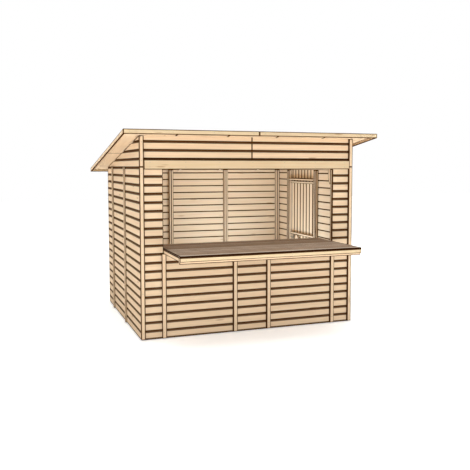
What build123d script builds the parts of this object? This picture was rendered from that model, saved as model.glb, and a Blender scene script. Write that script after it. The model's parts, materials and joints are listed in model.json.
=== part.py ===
import os
from math import atan, cos

from build123d import *

os.makedirs("parts", exist_ok=True)

# Wooden market stall with a pent roof, a serving hatch with a counter, and a ledged side door.
# Millimetres, X to the right along the front, Y to the back, Z up, ground at Z = 0.

# Overall sizes of the walls, outside the boarding
panel_width = 900
half_panel_width = 450
stall_width = 3 * panel_width
stall_depth = 2 * panel_width + half_panel_width
front_height = 2320
roof_fall = 348

# Boarding, frame timber and cover strips
boarding = 19
stud_width = 30
stud_depth = 40
plate_height = 44
ground_gap = 12
panel_gap = 2
strip_width = 48
strip_thickness = 19

# Front wall
post_panel_width = 270
lower_middle_width = 430
lower_wall_height = 985
upper_band_height = 268
header_height = 108
header_thickness = 31
block_depth = 62
block_drop = 190
block_toe_depth = 22
block_taper_height = 75

# Counter
counter_overhang = 712
counter_board_depth = 1098
counter_board_thickness = 20
counter_bearer_height = 42
counter_bearer_width = 30
counter_bearer_count = 5
counter_rail_drop = 27
counter_edge_thickness = 20
counter_edge_height = 44
counter_end_gap = 2

# Roof
roof_side_overhang = 214
roof_front_overhang = 240
roof_back_overhang = 250
deck_thickness = 22
deck_sheets = 5
fascia_thickness = 18
fascia_height = 53
rafter_width = 40
rafter_depth = 60

# Door in the right wall
jamb_width = 45
over_door_height = 177
head_height = 32
head_lap = 19
leaf_bottom = 20
leaf_thickness = 19
leaf_clearance = 5
ledge_height = 32
ledge_thickness = 28
ledge_end_gap = 15
ledge_head_gap = 8
ledge_handle_gap = 5
bottom_ledge_rise = 160
brace_width = 70
brace_setback = 170

# Strap hinges and lever handles of the door
strap_length = 420
strap_height = 36
strap_tip_height = 20
strap_thickness = 4
pin_radius = 6
pin_play = 0.1
pin_rise = 4
boss_height = 14
boss_inset = 1
hinge_plate_height = 110
hinge_plate_gap = 2
upper_hinge_drop = 230
lower_hinge_rise = 280
handle_height = 918
handle_inset = 60
handle_plate_width = 36
handle_plate_height = 80
handle_plate_thickness = 3
handle_neck_radius = 8
handle_reach = 42
lever_length = 105
lever_height = 18
lever_thickness = 10

# Places that follow from the sizes above
half_width = stall_width / 2
back_height = front_height - roof_fall
overall_depth = counter_overhang + stall_depth + roof_back_overhang
front = counter_overhang - overall_depth / 2
back = front + stall_depth
inner_half = half_width - boarding
frame_half = inner_half - stud_depth
front_frame = front + boarding
front_inside = front_frame + stud_depth
back_frame = back - boarding
back_inside = back_frame - stud_depth
hatch_half = half_width - post_panel_width
middle_half = lower_middle_width / 2
side_joints = (front + panel_width, front + 2 * panel_width)
back_joint = frame_half / 3
side_plate_bottom = back_height - plate_height
joint = panel_gap / 2

slope = roof_fall / stall_depth
deck_rise = deck_thickness / cos(atan(slope))
fascia_rise = fascia_height / cos(atan(slope))
header_top = front_height - upper_band_height
hatch_top = header_top - header_height
over_door_bottom = back_height - over_door_height
leaf_top = over_door_bottom - leaf_clearance
head_bottom = leaf_top - head_lap


def roof_under(y):
    """Height of the underside of the roof deck at depth y."""
    return front_height - slope * (y - front)


def roof_over(y):
    """Height of the top of the roof deck at depth y."""
    return roof_under(y) + deck_rise


def bar(low, high):
    """Square timber from its low corner to its high corner, added to the open part."""
    with Locations(low):
        Box(*(b - a for a, b in zip(low, high)), align=(Align.MIN, Align.MIN, Align.MIN))


def keep(piece, name):
    """Label a finished piece and write it under its own name."""
    piece.label = name
    export_step(piece, f"parts/{name}.step")


# Boarded panels of the side walls, level on top at the height of the back wall
side_spans = {
    "front": (front, side_joints[0] - joint),
    "middle": (side_joints[0] + joint, side_joints[1] - joint),
    "rear": (side_joints[1] + joint, back),
}
with BuildPart() as left_panels:
    for y_low, y_high in side_spans.values():
        bar((-half_width, y_low, ground_gap), (-inner_half, y_high, back_height))
keep(left_panels.part, "left_panels")

with BuildPart() as right_panels:
    for span in ("front", "rear"):
        y_low, y_high = side_spans[span]
        bar((inner_half, y_low, ground_gap), (half_width, y_high, back_height))
keep(right_panels.part, "right_panels")

# Boarding over the door, between the panels beside it
with BuildPart() as over_door_panel:
    y_low, y_high = side_spans["middle"]
    bar((inner_half, y_low, over_door_bottom), (half_width, y_high, back_height))
keep(over_door_panel.part, "over_door_panel")

# Gables, cut to the slope of the roof
with BuildPart() as gables:
    for x_low in (-half_width, inner_half):
        with BuildSketch(Plane.YZ.offset(x_low)):
            with BuildLine():
                Polyline((front, back_height), (back, back_height), (front, front_height), close=True)
            make_face()
        extrude(amount=boarding)
keep(gables.part, "gables")

# Back wall panels, their tops splayed to the roof
back_spans = (
    (-inner_half, -back_joint - joint),
    (-back_joint + joint, back_joint - joint),
    (back_joint + joint, inner_half),
)
with BuildPart() as back_panels:
    for x_low, x_high in back_spans:
        with BuildSketch(Plane.YZ.offset(x_low)):
            with BuildLine():
                Polyline(
                    (back_frame, ground_gap),
                    (back, ground_gap),
                    (back, roof_under(back)),
                    (back_frame, roof_under(back_frame)),
                    close=True,
                )
            make_face()
        extrude(amount=x_high - x_low)
keep(back_panels.part, "back_panels")

# Front wall: narrow panels beside the hatch, low panels under the counter
with BuildPart() as front_post_panels:
    for x_low, x_high in ((-inner_half, -hatch_half - joint), (hatch_half + joint, inner_half)):
        bar((x_low, front, ground_gap), (x_high, front_frame, hatch_top))
keep(front_post_panels.part, "front_post_panels")

lower_spans = (
    (-hatch_half + joint, -middle_half - joint),
    (-middle_half + joint, middle_half - joint),
    (middle_half + joint, hatch_half - joint),
)
with BuildPart() as front_lower_panels:
    for x_low, x_high in lower_spans:
        bar((x_low, front, ground_gap), (x_high, front_frame, lower_wall_height))
keep(front_lower_panels.part, "front_lower_panels")

# Front wall over the hatch, in two panels with splayed tops
with BuildPart() as front_upper_panels:
    for x_low in (-inner_half, joint):
        with BuildSketch(Plane.YZ.offset(x_low)):
            with BuildLine():
                Polyline(
                    (front, hatch_top),
                    (front_frame, hatch_top),
                    (front_frame, roof_under(front_frame)),
                    (front, roof_under(front)),
                    close=True,
                )
            make_face()
        extrude(amount=inner_half - joint)
keep(front_upper_panels.part, "front_upper_panels")

# Sole plates on the ground, long ones at the sides and cross ones between them
with BuildPart() as side_sole_plates:
    for x_low in (-inner_half, frame_half):
        bar((x_low, front_frame, 0), (x_low + stud_depth, back_frame, plate_height))
keep(side_sole_plates.part, "side_sole_plates")

with BuildPart() as cross_sole_plates:
    for y_low in (front_frame, back_inside):
        bar((-frame_half, y_low, 0), (frame_half, y_low + stud_depth, plate_height))
keep(cross_sole_plates.part, "cross_sole_plates")

# Studs: one at each corner, and a pair where two panels meet
front_stud = front_frame
back_stud = back_frame - stud_width
side_stud_places = [front_stud, back_stud]
for y in side_joints:
    side_stud_places += [y - joint - stud_width, y + joint]
door_side_places = [front_stud, side_joints[0] - joint - stud_width, side_joints[1] + joint, back_stud]
for side, x_low, places in (("left", -inner_half, side_stud_places), ("right", frame_half, door_side_places)):
    with BuildPart() as side_studs:
        for y in places:
            bar((x_low, y, plate_height), (x_low + stud_depth, y + stud_width, side_plate_bottom))
    keep(side_studs.part, f"{side}_studs")

corner_stud_places = [-frame_half, frame_half - stud_width]
back_stud_places = list(corner_stud_places)
for x in (-back_joint, back_joint):
    back_stud_places += [x - joint - stud_width, x + joint]
with BuildPart() as back_studs:
    for x in back_stud_places:
        bar((x, back_inside, plate_height), (x + stud_width, back_frame, side_plate_bottom))
keep(back_studs.part, "back_studs")

# Front studs: tall ones beside the hatch, low ones under the counter, short ones over the lintel
sill_bottom = lower_wall_height - plate_height
front_plate_bottom = roof_under(front_inside) - plate_height
hatch_stud_places = corner_stud_places + [-hatch_half - joint - stud_width, hatch_half + joint]
lower_stud_places = [-hatch_half + joint, hatch_half - joint - stud_width]
for x in (-middle_half, middle_half):
    lower_stud_places += [x - joint - stud_width, x + joint]
upper_stud_places = corner_stud_places + [-joint - stud_width, joint]
front_stud_rows = (
    (hatch_stud_places, plate_height, hatch_top),
    (lower_stud_places, plate_height, sill_bottom),
    (upper_stud_places, header_top, front_plate_bottom),
)
with BuildPart() as front_studs:
    for places, z_low, z_high in front_stud_rows:
        for x in places:
            bar((x, front_frame, z_low), (x + stud_width, front_inside, z_high))
keep(front_studs.part, "front_studs")

# Sill under the counter and lintel over the hatch
with BuildPart() as hatch_sill:
    bar((-hatch_half + joint, front_frame, sill_bottom), (hatch_half - joint, front_inside, lower_wall_height))
keep(hatch_sill.part, "hatch_sill")

with BuildPart() as lintel:
    bar((-frame_half, front_frame, hatch_top), (frame_half, front_inside, header_top))
keep(lintel.part, "lintel")

# Top plates of the front and back walls, splayed to the roof
cross_plate_places = (
    (front_frame, front_inside, front_plate_bottom),
    (back_inside, back_frame, side_plate_bottom),
)
with BuildPart() as cross_top_plates:
    for y_low, y_high, z_low in cross_plate_places:
        with BuildSketch(Plane.YZ.offset(-frame_half)):
            with BuildLine():
                Polyline(
                    (y_low, z_low),
                    (y_high, z_low),
                    (y_high, roof_under(y_high)),
                    (y_low, roof_under(y_low)),
                    close=True,
                )
            make_face()
        extrude(amount=2 * frame_half)
keep(cross_top_plates.part, "cross_top_plates")

with BuildPart() as side_top_plates:
    for x_low in (-inner_half, frame_half):
        bar((x_low, front_frame, side_plate_bottom), (x_low + stud_depth, back_frame, back_height))
keep(side_top_plates.part, "side_top_plates")

# Raking rails under the roof on the side walls, and the short posts that carry their high ends
rake_drop = plate_height / cos(atan(slope))
rake_heel = back - rake_drop / slope
with BuildPart() as gable_rails:
    for x_low in (-inner_half, frame_half):
        with BuildSketch(Plane.YZ.offset(x_low)):
            with BuildLine():
                Polyline(
                    (front_frame, roof_under(front_frame)),
                    (front_frame, roof_under(front_frame) - rake_drop),
                    (rake_heel, back_height),
                    (back_frame, back_height),
                    (back_frame, roof_under(back_frame)),
                    close=True,
                )
            make_face()
        extrude(amount=stud_depth)
keep(gable_rails.part, "gable_rails")

gable_post_back = front_frame + stud_width
with BuildPart() as gable_posts:
    for x_low in (-inner_half, frame_half):
        with BuildSketch(Plane.YZ.offset(x_low)):
            with BuildLine():
                Polyline(
                    (front_frame, back_height),
                    (gable_post_back, back_height),
                    (gable_post_back, roof_under(gable_post_back) - rake_drop),
                    (front_frame, roof_under(front_frame) - rake_drop),
                    close=True,
                )
            make_face()
        extrude(amount=stud_depth)
keep(gable_posts.part, "gable_posts")

# Bearing blocks behind the studs beside the hatch, tapered at the foot
block_foot = hatch_top - block_drop
block_back = front_inside + block_depth
with BuildPart() as bearing_blocks:
    for x_low in (-hatch_half - joint - stud_width, hatch_half + joint):
        with BuildSketch(Plane.YZ.offset(x_low)):
            with BuildLine():
                Polyline(
                    (front_inside, block_foot),
                    (front_inside + block_toe_depth, block_foot),
                    (block_back, block_foot + block_taper_height),
                    (block_back, header_top),
                    (front_inside, header_top),
                    close=True,
                )
            make_face()
        extrude(amount=stud_width)
keep(bearing_blocks.part, "bearing_blocks")

# Cover strips over the panel joints, corner boards and the header board
half_strip = strip_width / 2
strip_front = front - strip_thickness
strip_back = back + strip_thickness
strip_side = half_width + strip_thickness

with BuildPart() as front_battens:
    for x in (-hatch_half, -middle_half, middle_half, hatch_half):
        bar((x - half_strip, strip_front, ground_gap), (x + half_strip, front, lower_wall_height))
keep(front_battens.part, "front_battens")

with BuildPart() as side_battens:
    for x_low in (-strip_side, half_width):
        for y in side_joints:
            bar(
                (x_low, y - half_strip, ground_gap),
                (x_low + strip_thickness, y + half_strip, back_height),
            )
keep(side_battens.part, "side_battens")

with BuildPart() as back_battens:
    for x in (-back_joint, back_joint):
        bar((x - half_strip, back, ground_gap), (x + half_strip, strip_back, roof_under(strip_back)))
keep(back_battens.part, "back_battens")

trim_half = half_width - strip_width
with BuildPart() as corner_boards:
    for x_low in (-half_width, trim_half):
        bar((x_low, strip_front, ground_gap), (x_low + strip_width, front, back_height - joint))
        bar((x_low, strip_front, back_height + joint), (x_low + strip_width, front, front_height))
        bar((x_low, back, ground_gap), (x_low + strip_width, strip_back, roof_under(strip_back)))
keep(corner_boards.part, "corner_boards")

with BuildPart() as header_board:
    bar((-trim_half, front - header_thickness, hatch_top), (trim_half, front, header_top))
keep(header_board.part, "header_board")

# Counter: bearers across the low wall, rails along their ends, a boarded top, and an edge board under its front
counter_half = hatch_half - counter_end_gap
counter_front = front - counter_overhang
counter_inner = counter_front + counter_board_depth
counter_board_bottom = lower_wall_height + counter_bearer_height
counter_top_height = counter_board_bottom + counter_board_thickness
rail_front = counter_front + counter_edge_thickness
rail_outer = rail_front + counter_bearer_width
rail_inner = counter_inner - counter_bearer_width

with BuildPart() as counter_top:
    bar(
        (-counter_half, counter_front, counter_board_bottom),
        (counter_half, counter_inner, counter_top_height),
    )
keep(counter_top.part, "counter_top")

with BuildPart() as counter_rails:
    for y_low, z_low in ((rail_front, lower_wall_height - counter_rail_drop), (rail_inner, lower_wall_height)):
        bar(
            (-counter_half, y_low, z_low),
            (counter_half, y_low + counter_bearer_width, counter_board_bottom),
        )
keep(counter_rails.part, "counter_rails")

bearer_spacing = (2 * counter_half - counter_bearer_width) / (counter_bearer_count - 1)
with BuildPart() as counter_bearers:
    with Locations((0, (rail_outer + rail_inner) / 2, lower_wall_height)):
        with GridLocations(bearer_spacing, 0, counter_bearer_count, 1):
            Box(
                counter_bearer_width,
                rail_inner - rail_outer,
                counter_bearer_height,
                align=(Align.CENTER, Align.CENTER, Align.MIN),
            )
keep(counter_bearers.part, "counter_bearers")

with BuildPart() as counter_edge:
    bar(
        (-counter_half, counter_front, counter_board_bottom - counter_edge_height),
        (counter_half, rail_front, counter_board_bottom),
    )
keep(counter_edge.part, "counter_edge")

# Roof deck of sheets side by side, in a front and a rear row
roof_half = half_width + roof_side_overhang
deck_half = roof_half - fascia_thickness
roof_front = front - roof_front_overhang
roof_back = back + roof_back_overhang
deck_front = roof_front + fascia_thickness
deck_back = roof_back - fascia_thickness
deck_middle = (deck_front + deck_back) / 2
sheet_pitch = 2 * deck_half / deck_sheets
deck_rows = {
    "roof_deck_front": (deck_front, deck_middle - joint),
    "roof_deck_rear": (deck_middle + joint, deck_back),
}
for name, (y_low, y_high) in deck_rows.items():
    with BuildPart() as roof_deck:
        for sheet in range(deck_sheets):
            sheet_low = -deck_half + sheet * sheet_pitch + (joint if sheet else 0)
            sheet_high = -deck_half + (sheet + 1) * sheet_pitch - (joint if sheet + 1 < deck_sheets else 0)
            with BuildSketch(Plane.YZ.offset(sheet_low)):
                with BuildLine():
                    Polyline(
                        (y_low, roof_under(y_low)),
                        (y_high, roof_under(y_high)),
                        (y_high, roof_over(y_high)),
                        (y_low, roof_over(y_low)),
                        close=True,
                    )
                make_face()
            extrude(amount=sheet_high - sheet_low)
    keep(roof_deck.part, name)

# Rafters under the joints of the sheets, between the front and back top plates
rafter_drop = rafter_depth / cos(atan(slope))
with BuildPart() as rafters:
    for sheet_joint in range(1, deck_sheets):
        rafter_middle = sheet_joint * sheet_pitch - deck_half
        with BuildSketch(Plane.YZ.offset(rafter_middle - rafter_width / 2)):
            with BuildLine():
                Polyline(
                    (front_inside, roof_under(front_inside) - rafter_drop),
                    (back_inside, roof_under(back_inside) - rafter_drop),
                    (back_inside, roof_under(back_inside)),
                    (front_inside, roof_under(front_inside)),
                    close=True,
                )
            make_face()
        extrude(amount=rafter_width)
keep(rafters.part, "rafters")

# Fascia boards in two lengths at the front and back, their top edges bevelled with the roof
with BuildPart() as fascia_boards:
    for y_low, y_high in ((roof_front, deck_front), (deck_back, roof_back)):
        fascia_bottom = roof_over((y_low + y_high) / 2) - fascia_rise
        for x_low in (-roof_half, joint):
            with BuildSketch(Plane.YZ.offset(x_low)):
                with BuildLine():
                    Polyline(
                        (y_low, fascia_bottom),
                        (y_high, fascia_bottom),
                        (y_high, roof_over(y_high)),
                        (y_low, roof_over(y_low)),
                        close=True,
                    )
                make_face()
            extrude(amount=roof_half - joint)
keep(fascia_boards.part, "fascia_boards")

# Barge boards along the sloping sides
with BuildPart() as barge_boards:
    for x_low in (-roof_half, deck_half):
        with BuildSketch(Plane.YZ.offset(x_low)):
            with BuildLine():
                Polyline(
                    (deck_front, roof_over(deck_front) - fascia_rise),
                    (deck_back, roof_over(deck_back) - fascia_rise),
                    (deck_back, roof_over(deck_back)),
                    (deck_front, roof_over(deck_front)),
                    close=True,
                )
            make_face()
        extrude(amount=fascia_thickness)
keep(barge_boards.part, "barge_boards")

# Door frame: jambs rebated at the foot for the sole plate and at the top for the boarding
jamb_fronts = (side_joints[0], side_joints[1] - jamb_width)
with BuildPart() as door_jambs:
    for y_low in jamb_fronts:
        with BuildSketch(Plane.XZ.offset(-y_low - jamb_width)):
            with BuildLine():
                Polyline(
                    (frame_half, plate_height),
                    (inner_half, plate_height),
                    (inner_half, ground_gap),
                    (half_width, ground_gap),
                    (half_width, over_door_bottom),
                    (inner_half, over_door_bottom),
                    (inner_half, side_plate_bottom),
                    (frame_half, side_plate_bottom),
                    close=True,
                )
            make_face()
        extrude(amount=jamb_width)
keep(door_jambs.part, "door_jambs")

opening_front = jamb_fronts[0] + jamb_width
opening_back = jamb_fronts[1]
with BuildPart() as door_head:
    bar((frame_half, opening_front, head_bottom), (inner_half, opening_back, head_bottom + head_height))
keep(door_head.part, "door_head")

# Door leaf, lapping the head and the sole plate on the outside
leaf_front = opening_front + leaf_clearance
leaf_back = opening_back - leaf_clearance
leaf_inner = inner_half + leaf_clearance
leaf_outer = leaf_inner + leaf_thickness
with BuildPart() as door_leaf:
    bar((leaf_inner, leaf_front, leaf_bottom), (leaf_outer, leaf_back, leaf_top))
keep(door_leaf.part, "door_leaf")

ledge_inner = leaf_inner - ledge_thickness
ledge_front = leaf_front + ledge_end_gap
ledge_back = leaf_back - ledge_end_gap
bottom_ledge_bottom = leaf_bottom + bottom_ledge_rise
middle_ledge_bottom = handle_height + handle_plate_height / 2 + ledge_handle_gap
top_ledge_bottom = head_bottom - ledge_head_gap - ledge_height
with BuildPart() as door_ledges:
    for z_low in (bottom_ledge_bottom, middle_ledge_bottom, top_ledge_bottom):
        bar((ledge_inner, ledge_front, z_low), (leaf_inner, ledge_back, z_low + ledge_height))
keep(door_ledges.part, "door_ledges")

# Brace rising from the hinge side to the middle ledge, cut level at both ends, clear of the handle
brace_foot = bottom_ledge_bottom + ledge_height
brace_back = ledge_back - brace_setback
with BuildPart() as door_brace:
    with BuildSketch(Plane.YZ.offset(ledge_inner)):
        with BuildLine():
            Polyline(
                (ledge_front, brace_foot),
                (ledge_front + brace_width, brace_foot),
                (brace_back, middle_ledge_bottom),
                (brace_back - brace_width, middle_ledge_bottom),
                close=True,
            )
        make_face()
    extrude(amount=ledge_thickness)
keep(door_brace.part, "door_brace")

# Strap hinges: a rolled eye round the pin, and a strap that narrows along the leaf
eye_inner_radius = pin_radius + pin_play
eye_radius = eye_inner_radius + strap_thickness
pin_x = leaf_outer + eye_radius
pin_y = (opening_front + leaf_front) / 2
strap_end = pin_y + strap_length
hinge_heights = (leaf_bottom + lower_hinge_rise, leaf_top - upper_hinge_drop)
with BuildPart() as door_straps:
    for z_middle in hinge_heights:
        with BuildSketch(Plane.YZ.offset(leaf_outer)):
            with BuildLine():
                Polyline(
                    (pin_y, z_middle - strap_height / 2),
                    (strap_end, z_middle - strap_tip_height / 2),
                    (strap_end, z_middle + strap_tip_height / 2),
                    (pin_y, z_middle + strap_height / 2),
                    close=True,
                )
            make_face()
        extrude(amount=strap_thickness)
        with Locations((pin_x, pin_y, z_middle)):
            Cylinder(eye_radius, strap_height)
            Cylinder(eye_inner_radius, strap_height, mode=Mode.SUBTRACT)
keep(door_straps.part, "door_straps")

# Pintles on the front jamb: a plate, a boss under the eye and the pin through it
plate_front = side_joints[0] + half_strip + hinge_plate_gap
plate_back = opening_front - hinge_plate_gap
boss_radius = eye_radius - boss_inset
with BuildPart() as hinge_pintles:
    for z_middle in hinge_heights:
        boss_top = z_middle - strap_height / 2
        boss_bottom = boss_top - boss_height
        bar(
            (half_width, plate_front, z_middle - hinge_plate_height / 2),
            (half_width + strap_thickness, plate_back, z_middle + hinge_plate_height / 2),
        )
        bar((half_width, plate_front, boss_bottom), (pin_x, plate_back, boss_top))
        with Locations((pin_x, pin_y, boss_bottom)):
            Cylinder(boss_radius, boss_height, align=(Align.CENTER, Align.CENTER, Align.MIN))
            Cylinder(
                pin_radius,
                boss_height + strap_height + pin_rise,
                align=(Align.CENTER, Align.CENTER, Align.MIN),
            )
keep(hinge_pintles.part, "hinge_pintles")

# Lever handles, one on each face of the leaf
handle_y = leaf_back - handle_inset
with BuildPart() as door_handles:
    for face_x, outward in ((leaf_outer, 1), (leaf_inner, -1)):
        face = Plane(origin=(face_x, handle_y, handle_height), x_dir=(0, 1, 0), z_dir=(outward, 0, 0))
        with BuildSketch(face):
            RectangleRounded(handle_plate_width, handle_plate_height, handle_plate_width / 3)
        extrude(amount=handle_plate_thickness)
        with BuildSketch(face):
            Circle(handle_neck_radius)
        extrude(amount=handle_reach - lever_thickness)
        with BuildSketch(face.offset(handle_reach - lever_thickness)):
            with Locations(((lever_height - lever_length) / 2, 0)):
                SlotOverall(lever_length, lever_height)
        extrude(amount=lever_thickness)
keep(door_handles.part, "door_handles")
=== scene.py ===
import json

import bmesh
import bpy
import numpy as np
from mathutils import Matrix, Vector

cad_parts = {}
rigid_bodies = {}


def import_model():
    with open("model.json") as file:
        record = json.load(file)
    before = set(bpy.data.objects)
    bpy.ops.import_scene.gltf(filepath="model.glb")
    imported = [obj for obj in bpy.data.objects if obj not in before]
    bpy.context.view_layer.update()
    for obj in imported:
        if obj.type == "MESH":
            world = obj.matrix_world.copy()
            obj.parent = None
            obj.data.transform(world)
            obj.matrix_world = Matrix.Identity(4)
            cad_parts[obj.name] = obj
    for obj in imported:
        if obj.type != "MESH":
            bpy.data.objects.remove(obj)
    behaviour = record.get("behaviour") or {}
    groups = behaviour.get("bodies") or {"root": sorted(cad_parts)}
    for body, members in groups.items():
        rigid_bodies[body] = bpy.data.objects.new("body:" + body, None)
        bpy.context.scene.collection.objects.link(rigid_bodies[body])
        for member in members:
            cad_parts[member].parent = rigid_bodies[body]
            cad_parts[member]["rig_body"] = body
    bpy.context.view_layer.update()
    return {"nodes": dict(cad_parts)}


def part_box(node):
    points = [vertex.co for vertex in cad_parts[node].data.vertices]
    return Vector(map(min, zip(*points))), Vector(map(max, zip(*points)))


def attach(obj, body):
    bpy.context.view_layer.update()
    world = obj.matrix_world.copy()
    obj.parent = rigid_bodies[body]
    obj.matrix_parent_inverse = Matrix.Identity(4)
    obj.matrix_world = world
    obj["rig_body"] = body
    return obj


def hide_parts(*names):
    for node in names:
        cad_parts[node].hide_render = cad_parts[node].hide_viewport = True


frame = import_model()
mm = 0.001
rng = np.random.default_rng(17)  # one seeded source for tints and grain offsets
grainRange = 40  # m over which the offsets spread that give each board its own run of grain
sharpAngle = np.radians(30)  # edges that turn more than this stay sharp
print("frame loaded:", len(frame["nodes"]), "CAD nodes")


# Materials

def linearColour(hexCode):
    # each sRGB channel goes through the standard curve to linear light
    channel = np.array([int(hexCode[i:i + 2], 16) for i in (1, 3, 5)]) / 255
    linear = np.where(channel <= 0.04045, channel / 12.92, ((channel + 0.055) / 1.055) ** 2.4)
    return (*linear.tolist(), 1)


def addNode(tree, kind, inputs=None, **settings):
    # one node with its settings; an input is a plain value or the output that feeds it. On a colour Mix
    # node input 0 is the share, 6 and 7 are the two colours, and output 2 is their mix
    node = tree.nodes.new(kind)
    for key, value in settings.items():
        setattr(node, key, value)
    for key, value in (inputs or {}).items():
        if isinstance(value, bpy.types.NodeSocket):
            tree.links.new(value, node.inputs[key])
        else:
            node.inputs[key].default_value = value
    return node


def newMaterial(name):
    material = bpy.data.materials.new(name)
    material.use_nodes = True
    return material, material.node_tree, material.node_tree.nodes["Principled BSDF"]


def finishSurface(tree, shader, colour, pattern, finish):
    # the pattern that tints a surface also sets its roughness, between two values, and its fine relief
    rough = addNode(tree, "ShaderNodeMapRange", {
        "Value": pattern, "To Min": finish["roughness"][0], "To Max": finish["roughness"][1],
    }).outputs[0]
    bump = addNode(tree, "ShaderNodeBump", {
        "Height": pattern, "Strength": finish["bumpStrength"], "Distance": finish["bump"] * mm,
    }).outputs["Normal"]
    tree.links.new(colour, shader.inputs["Base Color"])
    tree.links.new(rough, shader.inputs["Roughness"])
    tree.links.new(bump, shader.inputs["Normal"])


# Planed spruce, oiled: pale, boards of slightly different tint, soft streaks of darker late wood,
# a few small knots, and painted shade, a dark brown laid into the grooves, joints and arrises where they
# would lie in shade.
planedSpruce = {
    "tints": ("#e8cfb0", "#e5cdad"),
    "lateWood": "#cba376",
    "knot": "#8f6238",
    # colour of the painted shade in grooves, joints and along the arrises
    "paintedShade": "#482807",
    "streaks": ((900, 22, 0.34), (260, 6, 0.22)),  # length and width in mm, strength; drawn coarse to show
    "streakNoise": {"Detail": 3, "Roughness": 0.6, "Distortion": 0.4},
    "streakRange": (0.38, 0.78),  # noise values between which a streak grows to its full strength
    "knotCell": (640, 95),   # mm along and across the grain for one knot
    "knotSize": 0.055,       # share of its cell
    "knotStrength": 0.45,
    "roughness": (0.58, 0.74),
    "bump": 0.3,             # mm
    "bumpStrength": 0.5,
    "specular": 0.01,        # dry timber hardly shines
}

# Planed spruce for the header, the counter's edge and the fascia, painted a shade deeper and yellower
# than the other boards: painted shade that evens out how bright these pieces render.
shadedSpruce = dict(planedSpruce, tints=("#d9c4a0", "#d6c09d"))

# Spruce stained dark brown: the stain sits unevenly, so the streaks are stronger than on bare boards.
stainedSpruce = dict(
    planedSpruce,
    tints=("#a58a74", "#d3c3b1"),
    lateWood="#6d533e",
    knot="#4a3526",
    # painted shade on the counter boards' edges and joints
    paintedShade="#2b1607",
    streaks=((900, 20, 0.75), (320, 7, 0.5)),
    roughness=(0.5, 0.66),
)

# Three-layer spruce sheet: wide veneers with a warmer, calmer face than the boards.
spruceSheet = dict(
    planedSpruce,
    tints=("#e8ceae", "#e7cfb0"),
    streaks=((1200, 45, 0.26), (300, 8, 0.16)),
    knotCell=(900, 160),
)


def sawnWood(name, finish):
    # board tint, then streaks of late wood, then knots, then the painted shade that the piece's shade
    # attribute asks for
    material, tree, shader = newMaterial(name)
    grain = addNode(tree, "ShaderNodeAttribute", attribute_name="grain").outputs["Vector"]
    tone = addNode(tree, "ShaderNodeAttribute", attribute_name="tone").outputs["Fac"]
    shade = addNode(tree, "ShaderNodeAttribute", attribute_name="shade").outputs["Fac"]
    colour = addNode(tree, "ShaderNodeMix", {
        0: tone, 6: linearColour(finish["tints"][0]), 7: linearColour(finish["tints"][1]),
    }, data_type="RGBA").outputs[2]
    for length, width, strength in finish["streaks"]:
        scaled = addNode(tree, "ShaderNodeVectorMath", {
            0: grain, 1: (1 / (length * mm), 1 / (width * mm), 1 / (width * mm)),
        }, operation="MULTIPLY").outputs[0]
        streak = addNode(tree, "ShaderNodeTexNoise", {
            "Vector": scaled, "Scale": 1, **finish["streakNoise"],
        }).outputs["Fac"]
        amount = addNode(tree, "ShaderNodeMapRange", {
            "Value": streak, "From Min": finish["streakRange"][0], "From Max": finish["streakRange"][1],
            "To Min": 0, "To Max": strength,
        }).outputs[0]
        colour = addNode(tree, "ShaderNodeMix", {
            0: amount, 6: colour, 7: linearColour(finish["lateWood"]),
        }, data_type="RGBA").outputs[2]
    knotLong, knotWide = finish["knotCell"]
    cell = addNode(tree, "ShaderNodeVectorMath", {
        0: grain, 1: (1 / (knotLong * mm), 1 / (knotWide * mm), 1 / (knotWide * mm)),
    }, operation="MULTIPLY").outputs[0]
    distance = addNode(tree, "ShaderNodeTexVoronoi", {"Vector": cell, "Scale": 1}).outputs["Distance"]
    knot = addNode(tree, "ShaderNodeMapRange", {
        "Value": distance, "From Min": finish["knotSize"], "From Max": 2 * finish["knotSize"],
        "To Min": finish["knotStrength"], "To Max": 0,
    }).outputs[0]
    colour = addNode(tree, "ShaderNodeMix", {
        0: knot, 6: colour, 7: linearColour(finish["knot"]),
    }, data_type="RGBA").outputs[2]
    # painted shade: dark brown mixed in where the shade attribute marks grooves, joints, gaps and arrises
    colour = addNode(tree, "ShaderNodeMix", {
        0: shade, 6: colour, 7: linearColour(finish["paintedShade"]),
    }, data_type="RGBA").outputs[2]
    finishSurface(tree, shader, colour, streak, finish)
    shader.inputs["Specular IOR Level"].default_value = finish["specular"]
    return material


# Metals; grit is the size in mm of the mottling that their making leaves
metals = {
    # rolled iron with a black coat: broad, soft patches of dull sheen
    "blackIron": {
        "colours": ("#2c2a28", "#45403a"), "grit": (14, 14, 14), "roughness": (0.42, 0.62), "bump": 0.25,
    },
    # brushed steel: fine level lines that draw its highlights out
    "brushedSteel": {
        "colours": ("#a9a8a4", "#c9c8c3"), "grit": (60, 60, 2), "roughness": (0.26, 0.4), "bump": 0.03,
    },
    # zinc plate on screws: a tight grey bloom
    "zincPlate": {
        "colours": ("#8f8b80", "#b9b5a8"), "grit": (3, 3, 3), "roughness": (0.35, 0.5), "bump": 0.02,
    },
}
metalNoise = {"Detail": 4}
metalBumpStrength = 0.6


def metal(name, finish):
    # one noise mottles the colour, the roughness and the relief
    material, tree, shader = newMaterial(name)
    place = addNode(tree, "ShaderNodeTexCoord").outputs["Object"]
    scaled = addNode(tree, "ShaderNodeMapping", {
        "Vector": place, "Scale": tuple(1 / (size * mm) for size in finish["grit"]),
    }).outputs[0]
    mottle = addNode(tree, "ShaderNodeTexNoise", {"Vector": scaled, "Scale": 1, **metalNoise}).outputs["Fac"]
    colour = addNode(tree, "ShaderNodeMix", {
        0: mottle, 6: linearColour(finish["colours"][0]), 7: linearColour(finish["colours"][1]),
    }, data_type="RGBA").outputs[2]
    finishSurface(tree, shader, colour, mottle, dict(finish, bumpStrength=metalBumpStrength))
    shader.inputs["Metallic"].default_value = 1
    return material


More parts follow.
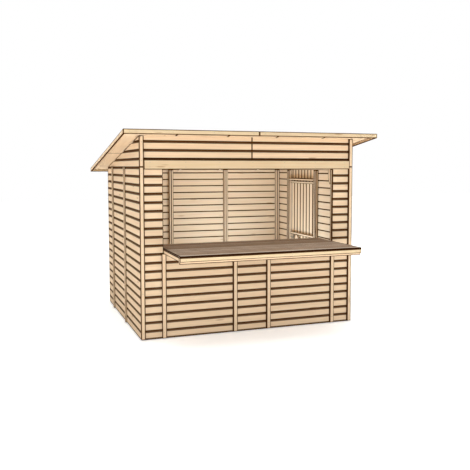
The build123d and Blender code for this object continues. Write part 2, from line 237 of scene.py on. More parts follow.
wood = {
    "spruce": sawnWood("planed spruce", planedSpruce),
    # painted shade: the darker copy of planed spruce for the header, the counter's edge and the fascia
    "dressed": sawnWood("dressed spruce", shadedSpruce),
    "stained": sawnWood("brown stained spruce", stainedSpruce),
    "sheet": sawnWood("three-layer spruce sheet", spruceSheet),
}
ironwork = {name: metal(name, finish) for name, finish in metals.items()}
print("materials:", len(bpy.data.materials))


# Shapes: every piece is gathered as grids of stations by profile points, then made one mesh

def newStock():
    return {"points": [], "faces": [], "grain": [], "tone": [], "shade": [], "count": 0}


def addGrid(stock, grid, shade, along, tone=None):
    # grid[station, profile point] joined in quads, round the profile and on to the next station,
    # with a flat cap at each end; grain is the place turned so that its first axis runs along the board
    stations, profilePoints = grid.shape[:2]
    index = stock["count"] + np.arange(stations * profilePoints).reshape(stations, profilePoints)
    beside = np.roll(index, -1, axis=1)
    quads = np.stack([index[:-1], beside[:-1], beside[1:], index[1:]], axis=-1).reshape(-1, 4)
    stock["faces"] += quads.tolist() + [index[0, ::-1].tolist(), index[-1].tolist()]
    stock["points"].append(grid.reshape(-1, 3))
    along = np.asarray(along, float) / np.linalg.norm(along)
    across = np.cross(np.eye(3)[np.argmin(np.abs(along))], along)
    across /= np.linalg.norm(across)
    turn = np.stack([along, across, np.cross(along, across)])
    stock["grain"].append(grid.reshape(-1, 3) @ turn.T + rng.uniform(0, grainRange, 3))
    boardTone = rng.random() if tone is None else tone
    stock["tone"].append(np.full(stations * profilePoints, boardTone))
    stock["shade"].append(np.broadcast_to(shade, grid.shape[:2]).reshape(-1))
    stock["count"] += stations * profilePoints


def placePiece(mesh, body, material):
    # a smooth mesh with sharp edges becomes a piece that rides on its body
    mesh.polygons.foreach_set("use_smooth", np.ones(len(mesh.polygons), dtype=bool))
    mesh.set_sharp_from_angle(angle=sharpAngle)
    mesh.materials.append(material)
    piece = bpy.data.objects.new(mesh.name, mesh)
    bpy.context.scene.collection.objects.link(piece)
    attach(piece, body)
    return piece


def makePiece(stock, name, body, material, node):
    # all grids of a stock as one mesh, with its grain, tone and shade, in place of a CAD node
    mesh = bpy.data.meshes.new(name)
    mesh.from_pydata(np.concatenate(stock["points"]).tolist(), [], stock["faces"])
    shell = bmesh.new()
    shell.from_mesh(mesh)
    bmesh.ops.recalc_face_normals(shell, faces=shell.faces)
    shell.to_mesh(mesh)
    shell.free()
    for attribute, kind, field in (
        ("grain", "FLOAT_VECTOR", "vector"), ("tone", "FLOAT", "value"), ("shade", "FLOAT", "value"),
    ):
        values = np.concatenate(stock[attribute]).astype(np.float32).reshape(-1)
        mesh.attributes.new(attribute, kind, "POINT").data.foreach_set(field, values)
    piece = placePiece(mesh, body, material)
    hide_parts(node)
    print(f"{name}: {len(stock['points'])} solids, {len(mesh.polygons)} faces")


mergeDigits = 5  # corners of loose triangles that agree to this many digits of a metre are one


def nodeSolids(nodeName):
    # corner points of each separate solid in a CAD node: the corners of a triangle take the lowest
    # label among them until every solid carries one label
    mesh = frame["nodes"][nodeName].data
    flat = np.empty(3 * len(mesh.vertices), dtype=np.float32)
    mesh.vertices.foreach_get("co", flat)
    points, label = np.unique(flat.reshape(-1, 3).round(mergeDigits), axis=0, return_inverse=True)
    loops = np.empty(len(mesh.loops), dtype=np.int32)
    mesh.loops.foreach_get("vertex_index", loops)
    triangles = label.reshape(-1)[loops].reshape(-1, 3)
    mark = np.arange(len(points))
    while True:
        lowest = mark.copy()
        np.minimum.at(lowest, triangles.reshape(-1), mark[triangles].min(axis=1).repeat(3))
        if (lowest == mark).all():
            break
        mark = lowest
    solids = [points[mark == solidMark].astype(float) for solidMark in np.unique(mark)]
    return sorted(solids, key=lambda solid: solid.min(axis=0).tolist())


def solidBoxes(nodeName):
    # lowest and highest corner of each solid in a CAD node
    return [(solid.min(axis=0), solid.max(axis=0)) for solid in nodeSolids(nodeName)]


arris = {
    "ease": 2.0,        # mm taken off an edge
    "band": 4.0,        # mm of painted shade beside it
    "bandShare": 0.1,   # and the most that the band takes of a face
    "fade": 1.5,        # mm over which the painted shade fades
    "shade": 0.98,
}
reachShares = (0.4, 0.43, 0.46)  # the most of a face that easing, band and fade reach over from one side
clearShare = 0.3  # a face with less than this left between its bands gets painted shade all over
roundShare = 0.3  # a quarter round passes its corner at about this share of its radius
closingShare = 0.1  # of the easing, for the smaller rings that close the ends of a prism
endReach = 0.5  # mm within which the corners of a straight solid lie at one end


def edgeDirections(corners):
    # unit steps from each corner of a polygon towards the corner before it and the one after it, and
    # the lengths of those two sides
    before = np.roll(corners, 1, axis=0) - corners
    after = np.roll(corners, -1, axis=0) - corners
    lengths = np.linalg.norm(before, axis=1, keepdims=True), np.linalg.norm(after, axis=1, keepdims=True)
    return before / lengths[0], after / lengths[1], *lengths


def edgeSteps(edge, length):
    # how far the easing, the band of painted shade and its fade each reach from an arris over a face of some
    # length: the band takes no more than its share, nothing passes the middle, and a face with little
    # room left between its two bands gets painted shade all over
    stained = np.minimum(edge["band"] * mm, edge["bandShare"] * length)
    reach = np.stack([
        np.minimum(edge["ease"] * mm, reachShares[0] * length),
        np.minimum(edge["ease"] * mm + stained, reachShares[1] * length),
        np.minimum((edge["ease"] + edge["fade"]) * mm + stained, reachShares[2] * length),
    ], axis=-1)
    return reach, length - 2 * reach[..., 2] < clearShare * length


def easedRing(corners, edge):
    # each corner becomes seven points: three round the eased arris, and on both faces beside it the
    # edges of the band of painted shade and of the strip over which it fades
    before, after, *lengths = edgeDirections(corners)
    reach = np.zeros((2, len(corners), 7))
    paintedShade = np.ones((2, len(corners), 7))
    for side, length in enumerate(lengths):
        steps, paintedShade[side, :, 0] = edgeSteps(edge, length[:, 0])
        reach[side, :, :3] = steps[:, ::-1]
        reach[side, :, 3] = roundShare * steps[:, 0]
    reach[1], paintedShade[1] = reach[1, :, ::-1], paintedShade[1, :, ::-1]
    ring = corners[:, None] + reach[0][..., None] * before[:, None] + reach[1][..., None] * after[:, None]
    return ring.reshape(-1, 2), paintedShade.min(axis=0).reshape(-1)


def insetCorners(corners, amount):
    # every side of an anticlockwise polygon moves in by amount, so a corner slides by the sum of its
    # two edge directions over the sine of its angle
    before, after = edgeDirections(corners)[:2]
    sine = after[:, 0] * before[:, 1] - after[:, 1] * before[:, 0]
    return corners + amount * (before + after) / sine[:, None]


def addPrism(stock, corners, axis, low, high, along, edge=arris, tone=None):
    # an eased polygon carried from low to high along one axis; at both ends the ring closes in three
    # times, to ease the end arris, to carry the band of painted shade round it and to leave the end face
    # clean
    inset = edgeSteps(edge, edgeDirections(corners)[2].min())[0]
    depth, shadedThrough = edgeSteps(edge, high - low)
    full, paintedShade = easedRing(corners, edge)
    paintedShade = np.maximum(paintedShade, shadedThrough)
    fine = dict(edge, **{key: closingShare * edge[key] for key in ("ease", "band", "fade")})
    closing = [easedRing(insetCorners(corners, amount), fine)[0] for amount in inset]
    rings = np.stack([*closing[::-1], *[full] * 6, *closing])
    places = np.concatenate([np.full(3, low), low + depth, high - depth[::-1], np.full(3, high)])
    stained = np.full(len(full), edge["shade"])
    half = [0 * stained, *[stained] * 4, paintedShade * edge["shade"]]
    grid = np.empty((*rings.shape[:2], 3))
    grid[..., [a for a in range(3) if a != axis]] = rings
    grid[..., axis] = places[:, None]
    addGrid(stock, grid, np.stack(half + half[::-1]), along, tone)


def rectangle(low, high):
    # anticlockwise corners between two opposite ones
    return np.array([low, (high[0], low[1]), high, (low[0], high[1])], float)


def prismOutline(points, axis):
    # the corners at one end of a straight solid, sorted by their angle round the middle
    end = points[points[:, axis] < points[:, axis].min() + endReach * mm]
    flat = end[:, [a for a in range(3) if a != axis]]
    offset = flat - flat.mean(axis=0)
    return flat[np.argsort(np.arctan2(offset[:, 1], offset[:, 0]))]


# Shiplap walls: each board has a scoop along its top edge, and the lip of the board above hangs over it

# painted shade: the scoop under each lip, the inside V joint and the board ends are painted dark brown where
# they would lie in shade
shiplap = {
    "rows": 20,              # boards from the ground gap to the top of a side wall
    "firstSlack": 1e-4,      # rows by which a panel may start below a joint
    "lastSliver": 0.05,      # rows; a last board lower than this is left out
    "scoopPoints": 6,
    "sizes": {               # mm
        "lip": 8.5,          # board left in front of the rebate
        "rebate": 8.5,
        "tongue": 8.0,
        "scoop": 26.0,       # from the top of the flat face to the lip above
        "scoopRise": 17.0,   # of which the curve takes this much
        "scoopDepth": 9.0,
        "lipRound": 2.0,
        "lipBand": 3.5,      # painted shade on the lip, above its lower edge
        "footBand": 11.0,    # and on that of the lowest board: painted shade along the foot of the wall
        "joint": 7.0,        # V joint on the inside
        "fade": 2.5,
        "endBand": 6.0,      # painted shade on the boards beside a cover strip, and the length over which it fades
        "endFade": 3.0,
        "rakeBand": 60.0,    # the same along the boards where the roof cuts them
        "rakeFade": 15.0,
        "gablePeak": 6.0,    # from the top board of a gable to its peak
    },
    "shades": {              # share of painted shade
        "round": 0.97,
        "lip": 0.93,
        "brink": 0.45,       # where the flat face turns into the scoop
        "scoop": (0.8, 0.97),
        "joint": 0.95,
        "end": 0.97,
    },
}
boardSize = {key: size * mm for key, size in shiplap["sizes"].items()}
boardShade = shiplap["shades"]

leftLow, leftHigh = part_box("left_panels")
gableLow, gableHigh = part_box("gables")
ground = leftLow.z
pitch = (leftHigh.z - leftLow.z) / shiplap["rows"]
boarding = leftHigh.x - leftLow.x
roofSlope = (gableHigh.z - gableLow.z) / (gableHigh.y - gableLow.y)


def roofUnder(y):
    # the underside of the roof falls in a straight line from front to back
    return gableHigh.z - roofSlope * (y - gableLow.y)


def shiplapProfile(band):
    # closed outline as (out, up, shade): lip, flat face, quarter-ellipse scoop, tongue, inside face, rebate;
    # shade is painted shade, darkest on the lip and in the scoop under it
    lip, lipRound, rebate, fade = (boardSize[key] for key in ("lip", "lipRound", "rebate", "fade"))
    faceTop = pitch - boardSize["scoop"]
    face = [
        (-lip, 0, 1),
        (-lipRound, 0, 1),
        (-roundShare * lipRound, roundShare * lipRound, boardShade["round"]),
        (0, lipRound, boardShade["lip"]),
        (0, lipRound + band, boardShade["lip"]),
        (0, lipRound + band + fade, 0),
        (0, faceTop - fade, 0),
        (0, faceTop, boardShade["brink"]),
    ]
    turn = np.linspace(0, np.pi / 2, shiplap["scoopPoints"])[1:]
    scoop = np.stack([
        -boardSize["scoopDepth"] * np.sin(turn),
        faceTop + boardSize["scoopRise"] * (1 - np.cos(turn)),
        np.linspace(*boardShade["scoop"], len(turn)),
    ], axis=1)
    top = pitch + boardSize["tongue"]
    joint = boardSize["joint"]
    back = [
        (-boardSize["scoopDepth"], pitch - fade, 1),
        (-boardSize["scoopDepth"], top, 1),
        (joint - boarding, top, 1),
        (-boarding, top - joint, boardShade["joint"]),
        (-boarding, top - joint - fade, 0),
        (-boarding, rebate + joint + fade, 0),
        (-boarding, rebate + joint, boardShade["joint"]),
        (joint - boarding, rebate, 1),
        (-lip, rebate, 1),
    ]
    return np.concatenate([face, scoop, back])


def cutOutline(profile, over):
    # keeps the outline where over is not above zero; an edge that crosses zero gets a point there
    after, overAfter = np.roll(profile, -1, axis=0), np.roll(over, -1)
    crosses = (over > 0) != (overAfter > 0)
    share = over / np.where(crosses, over - overAfter, 1)
    onCut = profile + share[:, None] * (after - profile)
    kept = np.stack([over <= 0, crosses], axis=1).reshape(-1)
    return np.stack([profile, onCut], axis=1).reshape(-1, profile.shape[1])[kept]


boardProfile = shiplapProfile(boardSize["lipBand"])
footProfile = shiplapProfile(boardSize["footBand"])


def addBoardRow(stock, wall, low, high, bottom, floor=None, ceiling=None, covers=(0, 0), raked=False):
    # the board outline is carried along the wall; covers are the lengths that cover strips hide at its
    # ends, and a raked row ends where each point of its outline meets the slope of the roof
    profile = (footProfile if bottom == ground else boardProfile) + (0, bottom, 0)
    if floor is not None and bottom < floor:
        profile = cutOutline(profile, floor - profile[:, 1])
    if ceiling is not None:
        profile = cutOutline(profile, profile[:, 1] - ceiling(profile[:, 0]))
    out, up, shade = profile.T
    end = gableLow.y + (gableHigh.z - up) / roofSlope if raked else np.full(len(out), high)
    # painted shade at the row's ends: beside the cover strips, and a long band along the roof on a raked row
    band, fade = boardSize["endBand"], boardSize["endFade"]
    fromLow = np.array([0, covers[0] + band, covers[0] + band + fade])
    if raked:
        band, fade = boardSize["rakeBand"], boardSize["rakeFade"]
    fromHigh = np.array([covers[1] + band + fade, covers[1] + band, 0])
    stations = np.concatenate([
        np.broadcast_to(low + fromLow[:, None], (3, len(out))), end - fromHigh[:, None],
    ])
    endShade = boardShade["end"] * np.array([1, 1, 0, 0, 1, 1])
    grid = np.empty((*stations.shape, 3))
    grid[..., wall["normal"]] = wall["face"] + wall["sign"] * out
    grid[..., 1 - wall["normal"]] = stations
    grid[..., 2] = up
    addGrid(stock, grid, np.maximum(shade, endShade[:, None]), np.eye(3)[1 - wall["normal"]])


def boardedWall(name, node, wall, covers, ceiling=None):
    # each panel of a wall filled with rows of boards, one pitch apart from the ground up
    stock = newStock()
    run = 1 - wall["normal"]
    for (low, high), cover in zip(solidBoxes(node), covers):
        first = int(np.floor((low[2] - ground) / pitch + shiplap["firstSlack"]))
        last = int(np.ceil((high[2] - ground) / pitch - shiplap["lastSliver"]))
        for row in range(first, last):
            bottom = ground + row * pitch
            addBoardRow(stock, wall, low[run], high[run], bottom, low[2], ceiling, cover)
    makePiece(stock, name, "stall", wood["spruce"], node)


sideStrips = solidBoxes("side_battens")
halfStrip = (sideStrips[0][1][1] - sideStrips[0][0][1]) / 2
leftWall = {"normal": 0, "face": leftLow.x, "sign": -1}
rightWall = {"normal": 0, "face": -leftLow.x, "sign": 1}
frontWall = {"normal": 1, "face": leftLow.y, "sign": -1}
backWall = {"normal": 1, "face": leftHigh.y, "sign": 1}
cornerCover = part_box("front_post_panels")[1].x - (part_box("corner_boards")[1].x - 2 * halfStrip)

boardedWall(
    "leftWallBoards", "left_panels", leftWall, [(0, halfStrip), (halfStrip, halfStrip), (halfStrip, 0)],
)
boardedWall("rightWallBoards", "right_panels", rightWall, [(0, halfStrip), (halfStrip, 0)])
boardedWall(
    "backWallBoards", "back_panels", backWall,
    [(cornerCover, halfStrip), (halfStrip, halfStrip), (halfStrip, cornerCover)],
    lambda out: roofUnder(backWall["face"] + out),
)
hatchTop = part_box("front_post_panels")[1].z
boardedWall(
    "frontPostBoards", "front_post_panels", frontWall, [(cornerCover, 0), (0, cornerCover)],
    lambda out: np.full(len(out), hatchTop),
)
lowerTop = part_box("front_lower_panels")[1].z
boardedWall(
    "frontLowerBoards", "front_lower_panels", frontWall, [(halfStrip, halfStrip)] * 3,
    lambda out: np.full(len(out), lowerTop),
)
boardedWall(
    "frontUpperBoards", "front_upper_panels", frontWall, [(cornerCover, 0), (0, cornerCover)],
    lambda out: roofUnder(frontWall["face"] - out),
)

gableStock = newStock()
gableTop = gableHigh.z - boardSize["gablePeak"]
gableRows = range(shiplap["rows"], int(np.ceil((gableHigh.z - ground) / pitch)))
for wall in (leftWall, rightWall):
    for row in gableRows:
        addBoardRow(
            gableStock, wall, gableLow.y, gableHigh.y, ground + row * pitch,
            ceiling=lambda out: np.full(len(out), gableTop), raked=True,
        )
makePiece(gableStock, "gableBoards", "stall", wood["spruce"], "gables")


# Upright boards with V joints on the door and over it

uprightBoards = {
    "count": {"door_leaf": 8, "over_door_panel": 9},
    "gap": 0.4,  # mm
    # painted shade in the V joints between the boards
    "edge": dict(arris, ease=7.0, band=6.5, bandShare=0.2),
}


def uprightPanel(name, node, body):
    # the panel's width shared out among its boards, each an eased upright prism
    stock = newStock()
    low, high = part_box(node)
    edges = np.linspace(low.y, high.y, uprightBoards["count"][node] + 1)
    for near, far in zip(edges[:-1], edges[1:]):
        gap = uprightBoards["gap"] * mm / 2
        corners = rectangle((low.x, near + gap), (high.x, far - gap))
        addPrism(stock, corners, 2, low.z, high.z, (0, 0, 1), uprightBoards["edge"])
    makePiece(stock, name, body, wood["spruce"], node)


uprightPanel("doorBoards", "door_leaf", "door")
uprightPanel("overDoorBoards", "over_door_panel", "stall")


# Counter boards, laid lengthwise with open joints

counterBoards = {
    "count": 11,
    "gap": 3.0,  # mm
    # painted shade: the boards' narrow faces, their front edge among them, are painted dark all over
    "edge": dict(arris, ease=2.5, band=6.0, bandShare=0.3, fade=1.0, shade=1.0),
    "tones": (0.1, 0.9),  # range of the boards' tints
    "frontHighlight": 1.0,     # painted highlight: the front board is the palest, as if lit along the counter's front
}
counterLow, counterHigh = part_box("counter_top")
counterStock = newStock()
counterEdges = np.linspace(counterLow.y, counterHigh.y, counterBoards["count"] + 1)
for near, far in zip(counterEdges[:-1], counterEdges[1:]):
    gap = counterBoards["gap"] * mm / 2
    corners = rectangle((near + gap, counterLow.z), (far - gap, counterHigh.z))
    tone = counterBoards["frontHighlight"] if near == counterEdges[0] else rng.uniform(*counterBoards["tones"])
    addPrism(counterStock, corners, 0, counterLow.x, counterHigh.x, (1, 0, 0), counterBoards["edge"], tone)
makePiece(counterStock, "counterBoards", "stall", wood["stained"], "counter_top")


# Sawn timbers: each CAD solid again with eased arrises and its own run of grain

timbers = {
    # node: piece, axis that its outline is carried along, grain, slot, material, mm eased, mm of painted
    # shade and the most of a face that the painted shade takes
    "side_sole_plates": ("sideSolePlates", 1, (0, 1, 0), "frame_timber", "spruce", 2, 4, 0.1),
    "cross_sole_plates": ("crossSolePlates", 0, (1, 0, 0), "frame_timber", "spruce", 2, 4, 0.1),
    "left_studs": ("leftStuds", 2, (0, 0, 1), "frame_timber", "spruce", 2, 8, 0.2),
    "right_studs": ("rightStuds", 2, (0, 0, 1), "frame_timber", "spruce", 2, 8, 0.2),
    "back_studs": ("backStuds", 2, (0, 0, 1), "frame_timber", "spruce", 2, 5, 0.12),
    "front_studs": ("frontStuds", 2, (0, 0, 1), "frame_timber", "spruce", 2, 8, 0.2),
    "hatch_sill": ("hatchSill", 0, (1, 0, 0), "frame_timber", "spruce", 2, 4, 0.1),
    "lintel": ("lintelBeam", 0, (1, 0, 0), "frame_timber", "spruce", 2, 4, 0.1),
    "cross_top_plates": ("crossTopPlates", 0, (1, 0, 0), "frame_timber", "spruce", 2, 4, 0.1),
    "side_top_plates": ("sideTopPlates", 1, (0, 1, 0), "frame_timber", "spruce", 2, 4, 0.1),
    "gable_rails": ("gableRails", 0, (0, 1, -roofSlope), "frame_timber", "spruce", 0.35, 0.3, 0.1),
    "gable_posts": ("gablePosts", 0, (0, 0, 1), "frame_timber", "spruce", 2, 4, 0.1),
    # painted shade: a wide dark band on the blocks' faces that would lie in shade
    "bearing_blocks": ("bearingBlocks", 0, (0, 0, 1), "frame_timber", "spruce", 2, 9, 0.4),
    "rafters": ("rafterBeams", 0, (0, 1, -roofSlope), "frame_timber", "spruce", 2, 4, 0.1),
    "front_battens": ("frontStrips", 2, (0, 0, 1), "trim_boards", "spruce", 2, 3.5, 0.18),
    "side_battens": ("sideStrips", 2, (0, 0, 1), "trim_boards", "spruce", 2, 3.5, 0.12),
    "back_battens": ("backStrips", 2, (0, 0, 1), "trim_boards", "spruce", 2, 3.5, 0.18),
    "corner_boards": ("cornerBoards", 2, (0, 0, 1), "trim_boards", "spruce", 2, 5, 0.18),
    "header_board": ("headerBoard", 0, (1, 0, 0), "trim_boards", "dressed", 2.5, 5, 0.1),
    "counter_rails": ("counterRails", 0, (1, 0, 0), "counter_frame", "spruce", 2, 5, 0.1),
    "counter_bearers": ("counterBearers", 1, (0, 1, 0), "counter_frame", "spruce", 2, 4, 0.1),
    "counter_edge": ("counterEdge", 0, (1, 0, 0), "counter_frame", "dressed", 2.5, 3, 0.1),
    "fascia_boards": ("fasciaBoards", 0, (1, 0, 0), "trim_boards", "dressed", 2.5, 6, 0.15),
    "barge_boards": ("bargeBoards", 0, (0, 1, -roofSlope), "trim_boards", "spruce", 2.5, 6, 0.2),
    "roof_deck_front": ("roofSheetsFront", 0, (0, 1, -roofSlope), "roof_sheets", "sheet", 2.5, 8, 0.1),
    "roof_deck_rear": ("roofSheetsRear", 0, (0, 1, -roofSlope), "roof_sheets", "sheet", 2.5, 8, 0.1),
    "door_head": ("doorHead", 1, (0, 1, 0), "frame_timber", "spruce", 2, 5, 0.15),
    "door_ledges": ("doorLedges", 1, (0, 1, 0), "door_wood", "spruce", 3, 4, 0.1),
    "door_brace": ("doorBrace", 0, None, "door_wood", "spruce", 3, 4, 0.1),
}
for node, (name, axis, along, slotName, material, ease, band, share) in timbers.items():
    stock = newStock()
    for solid in nodeSolids(node):
        corners = prismOutline(solid, axis)
        if along is None:  # the longest side of a raking brace gives its grain
            sides = np.roll(corners, -1, axis=0) - corners
            along = (0, *sides[np.argmax(np.linalg.norm(sides, axis=1))])
        edge = dict(arris, ease=ease, band=band, bandShare=share, fade=min(arris["fade"], ease))
        addPrism(stock, corners, axis, solid[:, axis].min(), solid[:, axis].max(), along, edge)
    body = frame["nodes"][node]["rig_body"]
    makePiece(stock, name, body, wood[material], node)

# Door jambs, rebated over the sole plate at the foot and under the boarding at the head
# painted shade: a wide dark band on the jambs' faces, where the rebate and the gap to the leaf lie in shade
jambEdge = dict(arris, band=12.0, bandShare=0.4)
jambStock = newStock()
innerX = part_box("right_panels")[0].x
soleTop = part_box("side_sole_plates")[1].z
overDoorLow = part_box("over_door_panel")[0].z
for low, high in solidBoxes("door_jambs"):
    corners = np.array([
        (low[0], soleTop), (innerX, soleTop), (innerX, low[2]), (high[0], low[2]),
        (high[0], overDoorLow), (innerX, overDoorLow), (innerX, high[2]), (low[0], high[2]),
    ])
    addPrism(jambStock, corners, 1, low[1], high[1], (0, 0, 1), jambEdge)
makePiece(jambStock, "doorJambs", "stall", wood["spruce"], "door_jambs")


# Ironwork keeps its CAD shape and gets its finish

ironPieces = {"door_straps": "blackIron", "hinge_pintles": "blackIron", "door_handles": "brushedSteel"}
for node, finish in ironPieces.items():
    part = frame["nodes"][node]
    part.data.materials.clear()
    part.data.materials.append(ironwork[finish])
print("ironwork dressed")


# Fasteners: every head is one profile turned round its axis, set at many places and joined

fasteners = {
    # radius and height of the profile's points, in radii of the head
    "profile": ((1, -0.5), (1, 0.12), (0.86, 0.24), (0.42, 0.28), (0.36, 0.05)),
    "sides": 8,
    "nearUp": 0.9,   # a head whose normal rises more than this takes its first direction from X
    "screw": 4.0,    # mm, radius of a countersunk screw head
    "bolt": 8.0,     # mm, radius of a coach bolt head on a strap
    "spacing": 420,  # mm between the screws of a strip
    "inset": 70,     # mm from the end of a strip to its first screw
    "edge": 28,      # mm from the edge of a board or sheet to its screws
    "headerRows": (0.25, 0.75),  # shares of the header board's height
    "bargeRow": 0.5,             # share of a barge board's height
    "strapBolts": 3,
    "boltSeat": 4.0,             # mm from the door's face out to the bolts of a strap
    "boltInsets": (90, 50),      # mm from the ends of a strap to its first and last bolt
}


def spread(low, high):
    # evenly spaced places from end to end of a strip, inset at both ends
    inset = fasteners["inset"] * mm
    count = max(2, int(round((high - low - 2 * inset) / (fasteners["spacing"] * mm))) + 1)
    return np.linspace(low + inset, high - inset, count)


def grid3(x, y, z):
    # every combination of the three lists as one place
    return np.stack(np.meshgrid(x, y, z, indexing="ij"), axis=-1).reshape(-1, 3)


def makeHeads(name, body, slotName, finish, radius, places, normals):
    # head = place + turned profile: two directions square to the normal carry the circle, and the normal
    # its height
    places, normals = np.concatenate(places), np.concatenate(normals)
    normals = normals / np.linalg.norm(normals, axis=1, keepdims=True)
    nearUp = np.abs(normals[:, 2:]) > fasteners["nearUp"]
    aside = np.cross(normals, np.where(nearUp, (1.0, 0, 0), (0, 0, 1.0)))
    aside /= np.linalg.norm(aside, axis=1, keepdims=True)
    upward = np.cross(normals, aside)
    rings, rise = np.array(fasteners["profile"]).T * radius * mm
    turn = np.arange(fasteners["sides"]) * 2 * np.pi / fasteners["sides"]
    circle = np.cos(turn)[:, None] * aside[:, None] + np.sin(turn)[:, None] * upward[:, None]
    heads = places[:, None, None] + rings[:, None, None] * circle[:, None]
    heads = heads + rise[:, None, None] * normals[:, None, None]
    index = np.arange(heads.size // 3).reshape(heads.shape[:3])
    beside = np.roll(index, -1, axis=2)
    quads = np.stack([index[:, :-1], beside[:, :-1], beside[:, 1:], index[:, 1:]], axis=-1).reshape(-1, 4)
    caps = index[:, -1].tolist() + index[:, 0, ::-1].tolist()
    mesh = bpy.data.meshes.new(name)
    mesh.from_pydata(heads.reshape(-1, 3).tolist(), [], quads.tolist() + caps)
    placePiece(mesh, body, ironwork[finish])
    print(f"{name}: {len(places)} heads")


def faceHeads(boxes, axis, sign, rows=(0.5,)):
    # screws along the longest side of each box, on the face that looks along one axis; rows are shares of
    # the third side
    places = []
    for low, high in boxes:
        run = int(np.argmax(np.where(np.arange(3) == axis, -1, high - low)))
        wide = 3 - axis - run
        lines = [None] * 3
        lines[run] = spread(low[run], high[run])
        lines[wide] = low[wide] + np.array(rows) * (high - low)[wide]
        lines[axis] = [high[axis] if sign > 0 else low[axis]]
        places.append(grid3(*lines))
    places = np.concatenate(places)
    return places, np.tile(sign * np.eye(3)[axis], (len(places), 1))


def rakedHeads(solid, columns, share, normal):
    # screws down a raking piece at each of the columns; share is how far up its edge they stand, from the
    # bottom to the top, along the straight line between its two plumb ends
    low, high = solid.min(axis=0), solid.max(axis=0)
    rows = spread(low[1], high[1])
    ends = [solid[np.abs(solid[:, 1] - y) < mm, 2] for y in (low[1], high[1])]
    level = np.interp(rows, (low[1], high[1]), [end.min() + share * np.ptp(end) for end in ends])
    places = [np.repeat(columns, len(rows)), np.tile(rows, len(columns)), np.tile(level, len(columns))]
    return np.stack(places, axis=1), np.tile(normal, (len(places[0]), 1))


screwEdge = fasteners["edge"] * mm
cornerStrips = solidBoxes("corner_boards")
fasciaBoxes = solidBoxes("fascia_boards")
trimHeads = [
    faceHeads(solidBoxes("front_battens"), 1, -1),
    faceHeads([box for box in sideStrips if box[0][0] < 0], 0, -1),
    faceHeads([box for box in sideStrips if box[0][0] > 0], 0, 1),
    faceHeads(solidBoxes("back_battens"), 1, 1),
    faceHeads([box for box in cornerStrips if box[0][1] < 0], 1, -1),
    faceHeads([box for box in cornerStrips if box[0][1] > 0], 1, 1),
    faceHeads(solidBoxes("header_board"), 1, -1, fasteners["headerRows"]),
    faceHeads(solidBoxes("counter_edge"), 1, -1),
    faceHeads([box for box in fasciaBoxes if box[0][1] < 0], 1, -1),
    faceHeads([box for box in fasciaBoxes if box[0][1] > 0], 1, 1),
]
for board in nodeSolids("barge_boards"):
    outward = np.sign(board[0, 0])
    outerFace = outward * np.abs(board[:, 0]).max()
    trimHeads.append(rakedHeads(board, [outerFace], fasteners["bargeRow"], (outward, 0, 0)))
makeHeads("trimScrews", "stall", "handle_steel", "zincPlate", fasteners["screw"], *zip(*trimHeads))

roofHeads = []
for sheet in nodeSolids("roof_deck_front") + nodeSolids("roof_deck_rear"):
    columns = (sheet[:, 0].min() + screwEdge, sheet[:, 0].max() - screwEdge)
    roofHeads.append(rakedHeads(sheet, columns, 1, (0, roofSlope, 1)))
makeHeads("roofScrews", "stall", "handle_steel", "zincPlate", fasteners["screw"], *zip(*roofHeads))

bearerMiddles = [(low[0] + high[0]) / 2 for low, high in solidBoxes("counter_bearers")]
# two rows of screws to a board, one near each edge
boardRows = np.concatenate([counterEdges[:-1] + screwEdge, counterEdges[1:] - screwEdge])
counterHeads = grid3(bearerMiddles, boardRows, [counterHigh.z])
makeHeads(
    "counterScrews", "stall", "handle_steel", "zincPlate", fasteners["screw"],
    [counterHeads], [np.tile((0.0, 0, 1), (len(counterHeads), 1))],
)

doorLow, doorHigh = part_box("door_leaf")
doorEdges = np.linspace(doorLow.y, doorHigh.y, uprightBoards["count"]["door_leaf"] + 1)
doorRows = np.concatenate([doorEdges[:-1] + screwEdge, doorEdges[1:] - screwEdge])
ledgeMiddles = [(low[2] + high[2]) / 2 for low, high in solidBoxes("door_ledges")]
doorHeads = grid3([doorHigh.x], doorRows, ledgeMiddles)
makeHeads(
    "doorScrews", "door", "handle_steel", "zincPlate", fasteners["screw"],
    [doorHeads], [np.tile((1.0, 0, 0), (len(doorHeads), 1))],
)

strapHeads = []
eyeInset, tipInset = np.array(fasteners["boltInsets"]) * mm
boltSeat = doorHigh.x + fasteners["boltSeat"] * mm
for low, high in solidBoxes("door_straps"):
    boltRow = np.linspace(low[1] + eyeInset, high[1] - tipInset, fasteners["strapBolts"])
    strapHeads.append(grid3([boltSeat], boltRow, [(low[2] + high[2]) / 2]))
makeHeads(
    "strapBolts", "door", "hinge_iron", "blackIron", fasteners["bolt"],
    strapHeads, [np.tile((1.0, 0, 0), (len(np.concatenate(strapHeads)), 1))],
)


# Stage: white floor and backdrop, soft studio light, camera at the photo's angle

stage = {
    "floor": 60.0,          # m along each side
    "white": "#fbfaf8",
    "floorRoughness": 0.9,
    "floorGlow": 0.4,       # on seen rays alone, so it lights nothing
    "skyLight": 0.78,
    "skyColour": "#ffffff",
}


def seenRays(tree):
    # 1 on rays that are seen, by the camera or in metal or glass, and 0 on those that carry light
    rays = addNode(tree, "ShaderNodeLightPath").outputs
    seen = addNode(tree, "ShaderNodeMath", {
        0: rays["Is Camera Ray"], 1: rays["Is Glossy Ray"],
    }, operation="MAXIMUM").outputs[0]
    return addNode(tree, "ShaderNodeMath", {
        0: seen, 1: rays["Is Transmission Ray"],
    }, operation="MAXIMUM").outputs[0]


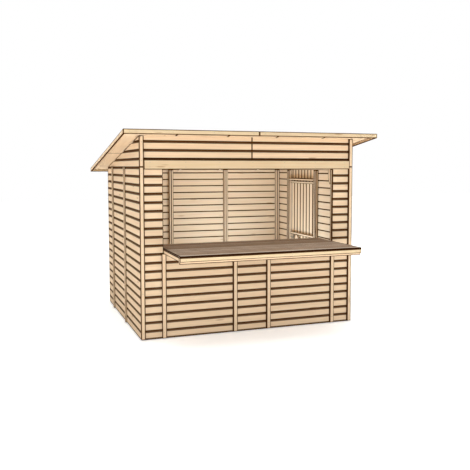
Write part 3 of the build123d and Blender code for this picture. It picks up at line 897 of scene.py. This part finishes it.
floorMesh = bpy.data.meshes.new("floor")
halfFloor = stage["floor"] / 2
floorCorners = rectangle((-halfFloor, -halfFloor), (halfFloor, halfFloor))
floorMesh.from_pydata([(x, y, 0) for x, y in floorCorners.tolist()], [], [(0, 1, 2, 3)])
floor = bpy.data.objects.new("floor", floorMesh)
floorMaterial, floorTree, floorShader = newMaterial("white studio floor")
floorShader.inputs["Base Color"].default_value = linearColour(stage["white"])
floorShader.inputs["Roughness"].default_value = stage["floorRoughness"]
floorShader.inputs["Specular IOR Level"].default_value = 0
floorShader.inputs["Emission Color"].default_value = linearColour(stage["white"])
glow = addNode(floorTree, "ShaderNodeMapRange", {
    "Value": seenRays(floorTree), "To Min": 0, "To Max": stage["floorGlow"],
}).outputs[0]
floorTree.links.new(glow, floorShader.inputs["Emission Strength"])
floorMesh.materials.append(floorMaterial)
bpy.context.scene.collection.objects.link(floor)

world = bpy.data.worlds.new("studio")
bpy.context.scene.world = world
world.use_nodes = True
sky = world.node_tree
background = sky.nodes["Background"]
background.inputs["Color"].default_value = linearColour(stage["skyColour"])
strength = addNode(sky, "ShaderNodeMapRange", {
    "Value": seenRays(sky), "To Min": stage["skyLight"], "To Max": 1,
}).outputs[0]
sky.links.new(strength, background.inputs["Strength"])

# lamp: place, point it looks at, width and height in metres, watts, colour, spread in degrees; the bounce
# lamps light the floor beside the stall, and the inside lamp the walls behind the counter
lamps = {
    "overheadLamp": ((0, 0, 9.0), (0, 0, 0), (16, 16), 250, "#ffffff", 50),
    "frontBounce": ((0, -5.6, 7.0), (0, -5.6, 0), (12, 5), 235, "#ffffff", 40),
    "leftBounce": ((-5.8, 0, 7.0), (-5.8, 0, 0), (5, 8), 160, "#ffffff", 40),
    "rightBounce": ((5.8, 0, 7.0), (5.8, 0, 0), (5, 8), 160, "#ffffff", 40),
    "frontLamp": ((-0.5, -4.8, 0.3), (0, -1.1, 0.45), (5, 0.5), 40, "#ffffff", 180),
    "insideLamp": ((0.3, 0.15, 0.1), (0.35, 0.3, 2.0), (1.0, 0.8), 42, "#d2e6fa", 140),
}
for name, (place, target, size, watts, colour, spreadAngle) in lamps.items():
    light = bpy.data.lights.new(name, "AREA")
    light.shape = "RECTANGLE"
    light.size, light.size_y = size
    light.energy = watts
    light.spread = np.radians(spreadAngle)
    light.color = linearColour(colour)[:3]
    lamp = bpy.data.objects.new(name, light)
    lamp.location = place
    direction = Vector(target) - Vector(place)
    lamp.rotation_euler = direction.to_track_quat("-Z", "Y").to_euler()
    lamp.visible_camera = False
    bpy.context.scene.collection.objects.link(lamp)

# the camera was solved from the photo's straight lines
photoView = {
    "place": (-2.769, -7.966, 1.973),
    "yaw": 20.565,   # degrees from +Y towards +X
    "pitch": 4.27,   # degrees down
    "lens": 48.87,   # mm
    "shift": (-0.0167, -0.0437),
}
cameraData = bpy.data.cameras.new("camera")
cameraData.lens = photoView["lens"]
cameraData.shift_x, cameraData.shift_y = photoView["shift"]
camera = bpy.data.objects.new("camera", cameraData)
camera.location = photoView["place"]
camera.rotation_euler = np.radians((90 - photoView["pitch"], 0, -photoView["yaw"]))
bpy.context.scene.collection.objects.link(camera)
bpy.context.scene.camera = camera
bpy.context.scene.view_settings.view_transform = "Standard"
print("stage set")
